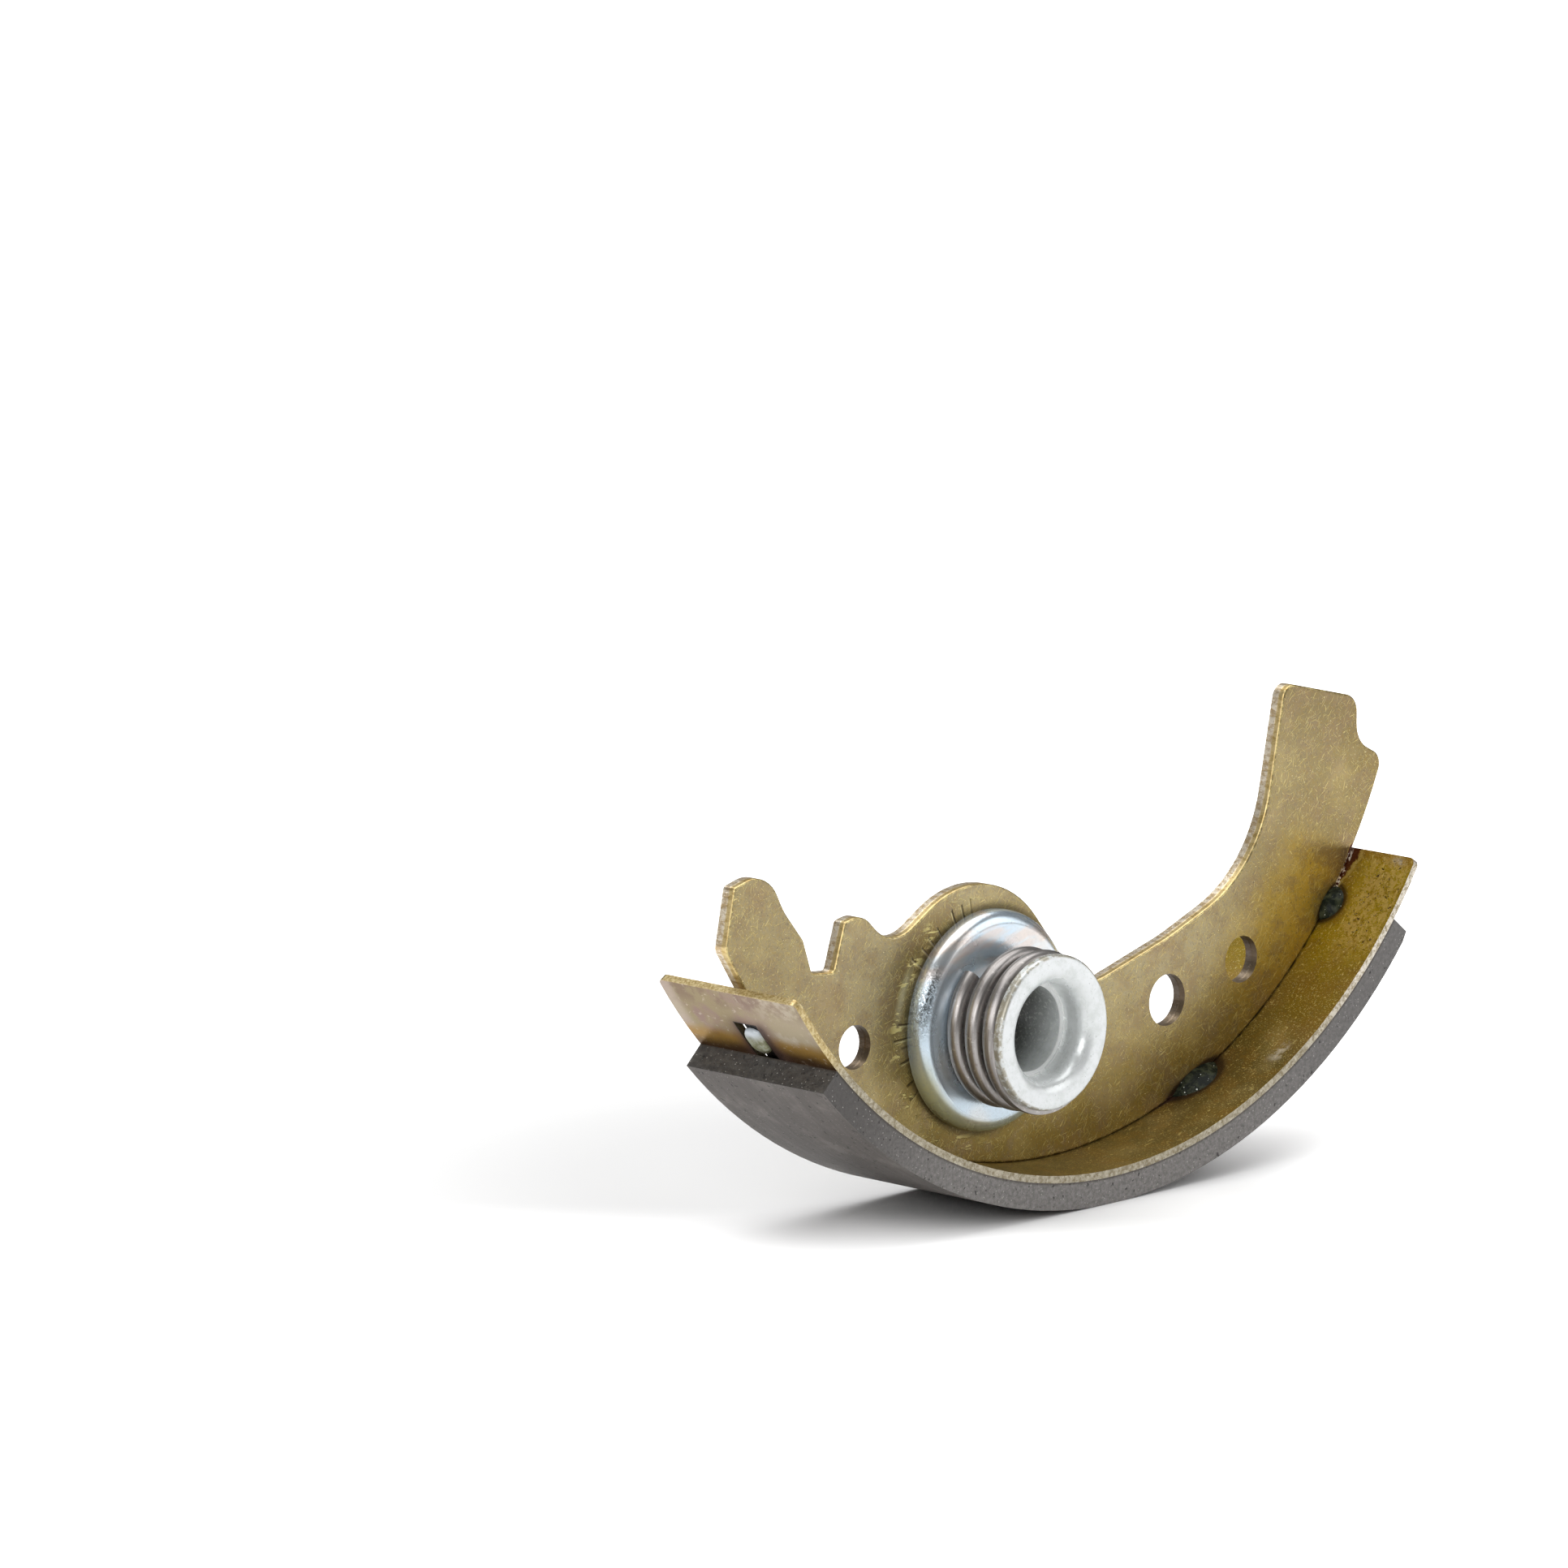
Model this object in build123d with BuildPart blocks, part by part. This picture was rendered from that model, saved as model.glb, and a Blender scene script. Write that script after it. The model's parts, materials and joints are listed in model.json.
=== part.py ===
"""Bonded drum brake shoe with a friction-held slack adjuster in its web.

The drum's axis runs along Y. X runs along the shoe, Z points up and the lining is underneath.
The origin is where the adjuster's axis meets the middle of the web.
"""
from build123d import *
from math import cos, radians, sin, sqrt
import os

# The drum's circle, which the lining's outer face follows
drum_radius = 92.5

# Lining and rim, from the drum inwards; angles count from straight below the drum's axis towards +X
lining_thickness = 4.4
lining_start_angle = -46.1
lining_end_angle = 50.8
lining_lead_length = 1.8
lining_lead_depth = 0.4
rim_thickness = 1.2
rim_width = 30.0
rim_start_angle = -56.1
rim_end_angle = 57.8
rim_corner_radius = 1.2

# Web: a blanked plate whose front edge is rolled over by the punch
web_thickness = 2.5
web_rollover = 0.4
web_tip_radius = 2.5

# Spring holes in the web: name, angle, depth inside the rim, radius
spring_holes = (
    ("horn", -36.1, 10.1, 3.6),
    ("middle", 23.3, 15.8, 4.3),
    ("heel", 37.0, 10.3, 3.9),
)

# Slot in the rim's left end, the web's tab in it, and the bead on the tab
tab_start_angle = -51.4
tab_end_angle = -45.0
tab_height = 0.5
tab_clearance = 1.15
plug_length = 5.8
plug_width = 4.3
plug_crown = 0.3
plug_edge_radius = 0.95
plug_angle = -48.5
plug_middle_y = 0.1

# Weld drops in the corner of web and rim: angle, length, width, height against the web
weld_drops = (
    (50.9, 6.6, 3.0, 1.2),
    (23.5, 11.5, 3.6, 1.5),
)

# Adjuster: place of its axis, and the tube that passes through the web
adjuster_angle = -13.75
adjuster_depth = 23.0
adjuster_travel = 2.5
slot_clearance = 0.35
bore_radius = 7.0
inner_wall = 0.83
outer_wall = 1.2
sleeve_fit = 0.02
sleeve_length_front = 16.5
sleeve_overlap = 5.3
flange_radius = 12.6
flange_thickness = 1.5
flange_edge_radius = 0.65
flare_radius = 2.5

# Cupped washers on both faces of the web
washer_radius = 18.0
washer_height = 3.15
washer_sheet = 1.5
washer_shoulder_radius = 2.4
washer_hole_clearance = 0.1

# Spring between the front flange and the front washer
wire_diameter = 3.0
spring_mean_radius = 11.65
spring_pitch = 3.85
spring_turns = 2.7
spring_start_angle = 130
spring_drop = 0.25
spring_grind = 0.45

# How far a cutting or joining shape reaches past the faces that it meets
cut_margin = 1.0

# Places that follow from the sizes above
rim_outer_radius = drum_radius - lining_thickness
rim_inner_radius = rim_outer_radius - rim_thickness
half_web = web_thickness / 2
outline_unit = drum_radius / 100
adjuster_radius = rim_inner_radius - adjuster_depth
adjuster_direction = (-sin(radians(adjuster_angle)), cos(radians(adjuster_angle)))
drum_x = adjuster_radius * adjuster_direction[0]
drum_z = adjuster_radius * adjuster_direction[1]
inner_sleeve_radius = bore_radius + inner_wall
outer_bore_radius = inner_sleeve_radius + sleeve_fit
outer_sleeve_radius = outer_bore_radius + outer_wall
seat_y = -half_web - washer_height
front_y = -sleeve_length_front
flange_rear_y = front_y + flange_thickness
ring_y = front_y + sleeve_overlap
rear_y = half_web + washer_height + flange_thickness
drum_plane = Plane(origin=(drum_x, 0, drum_z), x_dir=(1, 0, 0), z_dir=(0, -1, 0))


def polar(angle, depth):
    """Point in the drum's plane at an angle from straight down and a depth inside the rim."""
    radius = rim_inner_radius - depth
    return (radius * sin(radians(angle)), -radius * cos(radians(angle)))


def drum_point(angle, depth, y=0):
    """The same point in the part's own frame."""
    x, z = polar(angle, depth)
    return Vector(drum_x + x, y, drum_z + z)


def band(inner_radius, outer_radius, start_angle, end_angle):
    """Face between two circles around the drum's axis."""
    sweep_angle = end_angle - start_angle
    with BuildSketch() as section:
        with BuildLine():
            inside = CenterArc((0, 0), inner_radius, start_angle - 90, sweep_angle)
            outside = CenterArc((0, 0), outer_radius, start_angle - 90, sweep_angle)
            Line(inside @ 0, outside @ 0)
            Line(inside @ 1, outside @ 1)
        make_face()
    return section.sketch


# Web outline from the left end of the rim over both horns: angle, then depth and corner radius,
# both in hundredths of the drum's radius
web_corners = (
    # Relief beside the rim's end, and the abutment horn
    (-54.5, -3.24, 0),
    (-54.6, 1.51, 0.86),
    (-60.2, 1.41, 2.16),
    (-65.7, 8.22, 0.86),
    (-64.7, 16.32, 6.70),
    (-58.2, 16.22, 12.97),
    (-52.8, 16.86, 2.16),
    # Lever notch and the tooth beside it
    (-48.3, 14.59, 0.86),
    (-45.3, 18.16, 0.86),
    (-48.7, 25.73, 0.86),
    (-46.8, 29.62, 5.19),
    (-37.7, 29.19, 7.46),
    # Round lobe above the adjuster, then the long waist
    (-22.3, 54.27, 21.19),
    (7.9, 27.78, 8.65),
    (27.7, 26.92, 43.24),
    (47.1, 19.78, 25.95),
    # Heel block, and the step down to the tip
    (73.7, 30.27, 2.59),
    (74.2, 10.27, 3.46),
    (69.0, 7.68, 5.19),
    (68.3, -3.57, 0),
)

with BuildPart() as web:
    with BuildSketch(drum_plane) as web_outline:
        with BuildLine():
            corner_points = [polar(angle, depth * outline_unit) for angle, depth, _ in web_corners]
            corner_radii = [radius * outline_unit for _, _, radius in web_corners[1:-1]]
            upper_edge = FilletPolyline(*corner_points, radius=corner_radii)
            below = -rim_inner_radius / 2
            Polyline(upper_edge @ 1, polar(40, below), polar(-40, below), upper_edge @ 0)
        make_face()
        Circle(rim_inner_radius, mode=Mode.INTERSECT)
        fillet(web_outline.vertices().sort_by(Axis.X)[-1], radius=web_tip_radius)
    extrude(amount=half_web, both=True)
    front_face = web.faces().filter_by(Axis.Y).sort_by(Axis.Y)[0]
    rim_arc = front_face.edges().sort_by(SortBy.LENGTH)[-1]
    fillet(front_face.edges().filter_by(lambda edge: edge != rim_arc), radius=web_rollover)
    # Tab that enters the rim's slot
    with BuildSketch(drum_plane):
        tab_foot_radius = rim_inner_radius - cut_margin
        add(band(tab_foot_radius, rim_inner_radius + tab_height, tab_start_angle, tab_end_angle))
    extrude(amount=half_web, both=True)
    # Spring holes
    with BuildSketch(drum_plane):
        for _, angle, depth, radius in spring_holes:
            with Locations(polar(angle, depth)):
                Circle(radius)
    extrude(amount=web_thickness, both=True, mode=Mode.SUBTRACT)
    # Slot in which the adjuster slides towards and away from the drum
    with BuildSketch(drum_plane):
        with Locations(Location((*polar(adjuster_angle, adjuster_depth), 0), (0, 0, 90 + adjuster_angle))):
            SlotCenterToCenter(2 * adjuster_travel, 2 * (outer_sleeve_radius + slot_clearance))
    extrude(amount=web_thickness, both=True, mode=Mode.SUBTRACT)
web.part.label = "web"

with BuildPart() as rim:
    with BuildSketch(drum_plane):
        add(band(rim_inner_radius, rim_outer_radius, rim_start_angle, rim_end_angle))
    extrude(amount=rim_width / 2, both=True)
    # Sheet corners at both ends
    end_corners = rim.edges().filter_by(GeomType.LINE).filter_by(lambda edge: edge.length < 2 * rim_thickness)
    fillet(end_corners, radius=rim_corner_radius)
    # Slot for the web's tab
    with BuildSketch(drum_plane):
        slot_foot_radius = rim_inner_radius - cut_margin
        slot_head_radius = rim_outer_radius + cut_margin
        add(band(slot_foot_radius, slot_head_radius, tab_start_angle, tab_end_angle))
    extrude(amount=half_web + tab_clearance, both=True, mode=Mode.SUBTRACT)
rim.part.label = "rim"

with BuildPart() as lining:
    with BuildSketch(drum_plane):
        add(band(rim_outer_radius, drum_radius, lining_start_angle, lining_end_angle))
    extrude(amount=rim_width / 2, both=True)
    lead_edge = lining.edges().filter_by(Axis.Y).group_by(Axis.X)[-1].sort_by(Axis.Z)[0]
    outer_face = lining.faces().filter_by(GeomType.CYLINDER).sort_by(SortBy.AREA)[-1]
    chamfer(lead_edge, length=lining_lead_length, length2=lining_lead_depth, reference=outer_face)
lining.part.label = "lining"

# Bead that joins the web's tab to the rim inside the slot
plug_direction = Vector(sin(radians(plug_angle)), 0, -cos(radians(plug_angle)))
plug_plane = Plane(
    origin=drum_point(plug_angle, -tab_height, plug_middle_y),
    x_dir=(cos(radians(plug_angle)), 0, sin(radians(plug_angle))),
    z_dir=plug_direction,
)
with BuildPart() as plug_weld:
    with BuildSketch(plug_plane):
        SlotOverall(plug_length, plug_width)
    extrude(amount=rim_thickness - tab_height + plug_crown)
    crown_face = plug_weld.faces().sort_by_distance(drum_point(plug_angle, -rim_thickness, plug_middle_y))[0]
    fillet(crown_face.edges(), radius=plug_edge_radius)
plug_weld.part.label = "plug_weld"


def weld_drop(angle, length, width, height, side):
    """Lens-shaped drop in the corner of web and rim; side is -1 in front of the web, 1 behind it."""
    foot_radius = (length**2 / 4 + width**2) / (2 * width)
    ball_radius = length**2 / (8 * height)
    ball_depth = -sqrt(ball_radius**2 - foot_radius**2)
    ball_y = side * (half_web + width - foot_radius)
    with BuildPart() as drop:
        with Locations(drum_point(angle, ball_depth, ball_y)):
            Sphere(ball_radius)
        with BuildSketch(drum_plane.offset(-side * half_web)):
            Circle(rim_inner_radius)
        extrude(amount=-side * rim_width / 2, mode=Mode.INTERSECT)
    return drop.part


welds = []
for side_name, side in (("front", -1), ("rear", 1)):
    for number, drop_sizes in enumerate(weld_drops, start=1):
        drop_part = weld_drop(*drop_sizes, side)
        drop_part.label = f"weld_{side_name}_{number}"
        welds.append(drop_part)

# Outer sleeve: flared mouth, flange and tube, turned about the adjuster's axis
with BuildPart() as front_sleeve:
    with BuildSketch(Plane.XY):
        with BuildLine():
            under_flange = flare_radius - flange_thickness
            flare_end = outer_bore_radius + flare_radius
            tube_end_y = rear_y - flange_thickness
            edge_end = flange_radius - flange_edge_radius
            edge_y = front_y + flange_edge_radius
            mouth = RadiusArc((flare_end, front_y), (outer_bore_radius, front_y + flare_radius), flare_radius)
            inside = Line(mouth @ 1, (outer_bore_radius, tube_end_y))
            end = Line(inside @ 1, (outer_sleeve_radius, tube_end_y))
            outside = Line(end @ 1, (outer_sleeve_radius, flange_rear_y + under_flange))
            corner = RadiusArc(outside @ 1, (outer_sleeve_radius + under_flange, flange_rear_y), -under_flange)
            rear = Line(corner @ 1, (flange_radius, flange_rear_y))
            side = Line(rear @ 1, (flange_radius, edge_y))
            rounded = RadiusArc(side @ 1, (edge_end, front_y), flange_edge_radius)
            Line(rounded @ 1, mouth @ 0)
        make_face()
    revolve(axis=Axis.Y)
front_sleeve.part.label = "front_sleeve"

# Inner sleeve, whose end shows as a ring inside the bore, with the rear flange
with BuildPart() as rear_sleeve:
    with BuildSketch(Plane.XY):
        with BuildLine():
            Polyline(
                (bore_radius, ring_y),
                (inner_sleeve_radius, ring_y),
                (inner_sleeve_radius, rear_y - flange_thickness),
                (flange_radius, rear_y - flange_thickness),
                (flange_radius, rear_y),
                (bore_radius, rear_y),
                close=True,
            )
        make_face()
    revolve(axis=Axis.Y)
    fillet(rear_sleeve.edges().group_by(Axis.Y)[-1], radius=flange_edge_radius)
rear_sleeve.part.label = "rear_sleeve"


def cupped_washer(side):
    """Washer whose lip lies on the web's face; side is -1 in front of the web, 1 behind it."""
    hole_radius = outer_sleeve_radius + washer_hole_clearance
    lip_y = side * half_web
    crest_y = side * (half_web + washer_height)
    with BuildPart() as washer:
        with BuildSketch(Plane.XY) as section:
            with BuildLine():
                Polyline(
                    (hole_radius, crest_y),
                    (washer_radius, crest_y),
                    (washer_radius, lip_y),
                    (washer_radius - washer_sheet, lip_y),
                    (washer_radius - washer_sheet, crest_y - side * washer_sheet),
                    (hole_radius, crest_y - side * washer_sheet),
                    close=True,
                )
            make_face()
            crest_corner = section.vertices().sort_by_distance((washer_radius, crest_y))[0]
            fillet(crest_corner, radius=washer_shoulder_radius)
            inner_corner = (washer_radius - washer_sheet, crest_y - side * washer_sheet)
            fillet(
                section.vertices().sort_by_distance(inner_corner)[0],
                radius=washer_shoulder_radius - washer_sheet,
            )
        revolve(axis=Axis.Y)
    return washer.part


front_washer = cupped_washer(-1)
front_washer.label = "front_washer"
rear_washer = cupped_washer(1)
rear_washer.label = "rear_washer"

# Spring: a right-handed helix towards the front whose ends are ground flat on their seats
spring_axis = Plane(
    origin=(0, seat_y - wire_diameter / 2 + spring_grind, -spring_drop),
    x_dir=(cos(radians(spring_start_angle)), 0, sin(radians(spring_start_angle))),
    z_dir=(0, -1, 0),
)
spring_path = spring_axis * Helix(spring_pitch, spring_pitch * spring_turns, spring_mean_radius)
with BuildPart() as spring:
    with BuildSketch(Plane(origin=spring_path @ 0, z_dir=spring_path % 0)):
        Circle(wire_diameter / 2)
    sweep(path=spring_path, is_frenet=True)
    with BuildSketch(Plane.XZ.offset(-seat_y)):
        Circle(spring_mean_radius + 2 * wire_diameter)
    extrude(amount=seat_y - flange_rear_y, mode=Mode.INTERSECT)
spring.part.label = "spring"

os.makedirs("parts", exist_ok=True)
pieces = [
    web.part,
    rim.part,
    lining.part,
    plug_weld.part,
    *welds,
    front_sleeve.part,
    rear_sleeve.part,
    front_washer,
    rear_washer,
    spring.part,
]
for piece in pieces:
    export_step(piece, f"parts/{piece.label}.step")
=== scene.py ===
"""Looks of the drum brake shoe: materials, small surface details, floor, light and camera."""
import json
import math

import bmesh
import bpy
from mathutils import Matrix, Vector


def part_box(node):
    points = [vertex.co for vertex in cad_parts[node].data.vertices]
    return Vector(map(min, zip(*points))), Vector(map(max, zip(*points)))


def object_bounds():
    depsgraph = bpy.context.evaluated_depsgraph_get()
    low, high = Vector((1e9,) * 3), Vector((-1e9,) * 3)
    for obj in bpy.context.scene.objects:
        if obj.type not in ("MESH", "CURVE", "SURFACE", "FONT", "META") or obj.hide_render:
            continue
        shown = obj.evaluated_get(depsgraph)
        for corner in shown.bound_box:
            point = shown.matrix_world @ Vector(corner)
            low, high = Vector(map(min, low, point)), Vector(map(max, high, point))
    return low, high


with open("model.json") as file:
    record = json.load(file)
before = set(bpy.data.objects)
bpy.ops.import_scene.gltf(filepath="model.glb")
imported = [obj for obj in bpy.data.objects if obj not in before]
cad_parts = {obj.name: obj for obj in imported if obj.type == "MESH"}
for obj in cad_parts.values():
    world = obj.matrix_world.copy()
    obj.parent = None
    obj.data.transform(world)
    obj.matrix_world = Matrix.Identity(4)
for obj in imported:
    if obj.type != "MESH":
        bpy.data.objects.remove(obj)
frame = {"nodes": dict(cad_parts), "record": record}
cad_low, cad_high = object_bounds()

MM = 0.001

# Sizes as in the CAD model
DRUM_RADIUS = 92.5 * MM
LINING_THICKNESS = 4.4 * MM
RIM_THICKNESS = 1.2 * MM
RIM_OUTER = DRUM_RADIUS - LINING_THICKNESS
RIM_INNER = RIM_OUTER - RIM_THICKNESS
HALF_WEB = 1.25 * MM
HALF_SLOT = 2.4 * MM
MOUTH_RADIUS = 7.85 * MM
FLANGE_RADIUS = 12.6 * MM
RING_Y = -11.2 * MM
# Radius that takes in the wall of the largest spring hole
HOLE_REACH = 5.0 * MM

# Places taken from the frame, in metres
mounts = {mount["name"]: Vector(mount["pos_m"]) for mount in frame["record"]["mounts"]}
DRUM_X = mounts["lining_face"].x
DRUM_Z = mounts["lining_face"].z + DRUM_RADIUS
WEB_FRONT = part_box("web")[0].y
WASHER_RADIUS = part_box("front_washer")[1].x
FLOOR_Z = cad_low.z

# Angles about the drum's axis, from straight down towards +X, in degrees
RIM_LEFT = -56.1
RIM_RIGHT = 57.8
LINING_LEFT = -46.1
LINING_RIGHT = 50.8
SLOT_LEFT = -51.4
SLOT_RIGHT = -45.0

SPRING_HOLES = ("spring_hole_horn", "spring_hole_middle", "spring_hole_heel")
# The two weld places: angle and half length in degrees, width on the rim and height on the web
WELDS = ((50.9, 2.2, 3.0 * MM, 1.2 * MM), (23.5, 3.8, 3.6 * MM, 1.5 * MM))

# Lights: name, place, target, size and power
LIGHTS = (
    ("light_top", (0.10, 0.10, 0.95), (0.02, 0, 0), 1.1, 9.0),
    ("light_left", (-0.95, -0.05, 0.55), (0, 0, 0.01), 0.6, 3.0),
    ("light_front", (-0.85, -0.50, 0.50), (0, 0, 0.01), 0.5, 3.0),
    ("light_right", (0.75, -0.8, 0.5), (0.02, 0, 0.01), 0.8, 3.9),
)
# Direction in which the studio is darkest, behind the camera
DARK_SIDE = (-0.71, -0.69, 0.15)

# Floor: half its width, the middle of its shadow, and its colour
FLOOR_HALF = 6.0
SHADOW_MIDDLE = (0.0, 0.03, 0.0)
FLOOR_WHITE = (0.92, 0.92, 0.92, 1)

# Camera: place, degrees below the horizon, turn about the vertical and focal length in millimetres
CAMERA_PLACE = (-1.30049, -1.22130, 0.37321)
CAMERA_DIP = 10.637
CAMERA_TURN = -45.795
CAMERA_LENS = 261.3


def srgb(red, green, blue):
    """Linear colour of a screen colour given as 0 to 255."""
    def linear(value):
        value /= 255
        return value / 12.92 if value <= 0.04045 else ((value + 0.055) / 1.055) ** 2.4
    return (linear(red), linear(green), linear(blue), 1.0)


def feed(tree, socket, value):
    """Set an input by link or by value."""
    if isinstance(value, bpy.types.NodeSocket):
        tree.links.new(value, socket)
    else:
        socket.default_value = value


def add_node(tree, kind, inputs=None, **settings):
    """A node with its settings, and its inputs as values or links."""
    node = tree.nodes.new(kind)
    for key, value in settings.items():
        setattr(node, key, value)
    for key, value in (inputs or {}).items():
        feed(tree, node.inputs[key], value)
    return node


class Paint:
    """One node material, with short calls for the nodes that the finishes share."""

    def __init__(self, name):
        self.material = bpy.data.materials.new(name)
        self.material.use_nodes = True
        self.tree = self.material.node_tree
        self.shader = self.tree.nodes["Principled BSDF"]
        self.place = self.node("ShaderNodeTexCoord").outputs["Object"]
        split = self.node("ShaderNodeSeparateXYZ", {0: self.place})
        self.x, self.y, self.z = split.outputs
        geometry = self.node("ShaderNodeNewGeometry")
        normal = self.node("ShaderNodeSeparateXYZ", {0: geometry.outputs["Normal"]})
        self.normal_y = normal.outputs[1]

    def node(self, kind, inputs=None, **settings):
        """A node of this material."""
        return add_node(self.tree, kind, inputs, **settings)

    def math(self, operation, first, second=0.0):
        """A sum, product or other function of one or two numbers."""
        return self.node("ShaderNodeMath", {0: first, 1: second}, operation=operation).outputs[0]

    def plus(self, first, second):
        """Sum of two numbers."""
        return self.math("ADD", first, second)

    def minus(self, first, second):
        """First number less the second."""
        return self.math("SUBTRACT", first, second)

    def times(self, *factors):
        """Product of several numbers."""
        product = factors[0]
        for factor in factors[1:]:
            product = self.math("MULTIPLY", product, factor)
        return product

    def between(self, value, low, high):
        """0 below low, 1 above high, smooth between them; low may be the larger one."""
        inputs = {"Value": value, "From Min": low, "From Max": high}
        node = self.node("ShaderNodeMapRange", inputs, interpolation_type="SMOOTHSTEP")
        return node.outputs["Result"]

    def stretched(self, scale, turn=0.0, shift=0.0):
        """The object's coordinates turned about Y, then scaled along each axis."""
        turned = self.node("ShaderNodeMapping", {"Vector": self.place, "Rotation": (0, turn, 0)})
        inputs = {"Vector": turned.outputs[0], "Scale": scale, "Location": (shift, shift, shift)}
        return self.node("ShaderNodeMapping", inputs).outputs[0]

    def noise(self, scale, detail=3.0, roughness=0.55, vector=None):
        """Noise with features of 1 / scale metres."""
        vector = vector or self.place
        inputs = {"Vector": vector, "Scale": scale, "Detail": detail, "Roughness": roughness}
        return self.node("ShaderNodeTexNoise", inputs).outputs[0]

    def cells(self, scale):
        """Distance to the nearest of many random points, for specks and pits."""
        node = self.node("ShaderNodeTexVoronoi", {"Vector": self.place, "Scale": scale})
        return node.outputs["Distance"]

    def mix(self, factor, first, second, blend="MIX"):
        """Two colours, mixed; the node takes them at its inputs 6 and 7."""
        inputs = {0: factor, 6: first, 7: second}
        node = self.node("ShaderNodeMix", inputs, data_type="RGBA", blend_type=blend)
        return node.outputs[2]

    def graded(self, value, low, high, first, second):
        """The first colour where the value is low, and the second where it is high."""
        return self.mix(self.between(value, low, high), first, second)

    def tint(self, color, over, *factors):
        """A colour with another one over it, as strong as the product of the factors."""
        return self.mix(self.times(*factors), color, over)

    def scratches(self, density, threshold, angles):
        """Short thin lines, some 18 times as long as wide, at a few angles in the web's plane."""
        lines = 0.0
        for index, angle in enumerate(angles):
            vector = self.stretched((density * 0.055, density * 0.3, density), angle, 3.7 * index)
            line = self.between(self.noise(1.0, 0.0, 0.5, vector), threshold, threshold + 0.05)
            lines = self.math("MAXIMUM", line, lines)
        return lines

    def radius_about(self, x, z):
        """Distance from an axis along Y."""
        across = self.minus(self.x, x)
        up = self.minus(self.z, z)
        square = self.plus(self.times(across, across), self.times(up, up))
        return self.math("SQRT", square)

    def angle_about(self, x, z):
        """Angle about an axis along Y, from straight down towards +X, in degrees."""
        across = self.minus(self.x, x)
        down = self.minus(z, self.z)
        return self.times(self.math("ARCTAN2", across, down), math.degrees(1))

    def near(self, value, middle, reach):
        """1 at the middle, falling to 0 at a distance of reach."""
        away = self.math("ABSOLUTE", self.minus(value, middle))
        return self.between(away, reach, 0.0)

    def bump(self, height, depth):
        """Send a height from 0 to 1, as deep as depth in metres, to the shader's normal."""
        node = self.node("ShaderNodeBump", {"Height": height, "Distance": depth, "Strength": 1.0})
        self.tree.links.new(node.outputs[0], self.shader.inputs["Normal"])

    def finish(self, color, roughness, metallic, **others):
        """Set the shader's inputs by link or value; others have underscores for spaces."""
        inputs = {"Base Color": color, "Roughness": roughness, "Metallic": metallic}
        for name, value in others.items():
            inputs[name.replace("_", " ")] = value
        for name, value in inputs.items():
            feed(self.tree, self.shader.inputs[name], value)
        return self.material


def steel_speckle(paint, color, patch_color):
    """Fine grain, cloudy patches, short golden scratches and dots of painted glint that both coated
    sheets share.
    """
    grain = paint.noise(2600, 4.0, 0.7)
    clouds = paint.noise(75, 3.0, 0.5)
    patches = paint.noise(260, 5.0, 0.68)
    color = paint.tint(color, patch_color, paint.between(patches, 0.46, 0.60), 0.45)
    color = paint.mix(paint.between(grain, 0.35, 0.75), color, srgb(200, 184, 140), "SOFT_LIGHT")
    color = paint.tint(color, srgb(96, 80, 44), paint.between(grain, 0.47, 0.25), 0.8)
    color = paint.tint(color, srgb(150, 118, 84), paint.between(clouds, 0.50, 0.75), 0.3)
    color = paint.tint(color, srgb(208, 188, 130), paint.between(clouds, 0.48, 0.28), 0.25)
    fine = paint.scratches(8800, 0.743, (0.2, 0.9, 1.7, 2.4))
    long = paint.scratches(6400, 0.770, (0.55, 1.35, 2.8))
    scratch = paint.math("MAXIMUM", fine, paint.times(long, 0.7))
    # Bright dots of painted glint
    glint_dots = paint.between(paint.noise(3300, 1.0), 0.69, 0.74)
    color = paint.tint(color, srgb(250, 236, 180), glint_dots, 0.65)
    color = paint.tint(color, srgb(244, 224, 146), scratch, 0.52)
    return color, grain, scratch


def broken_line(paint, angle):
    """Where the joint line along the rim is darkest: in broken lengths towards the right."""
    lengths = paint.between(paint.noise(330, 2.0), 0.36, 0.56)
    return paint.times(lengths, paint.between(angle, 2, 26))


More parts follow.
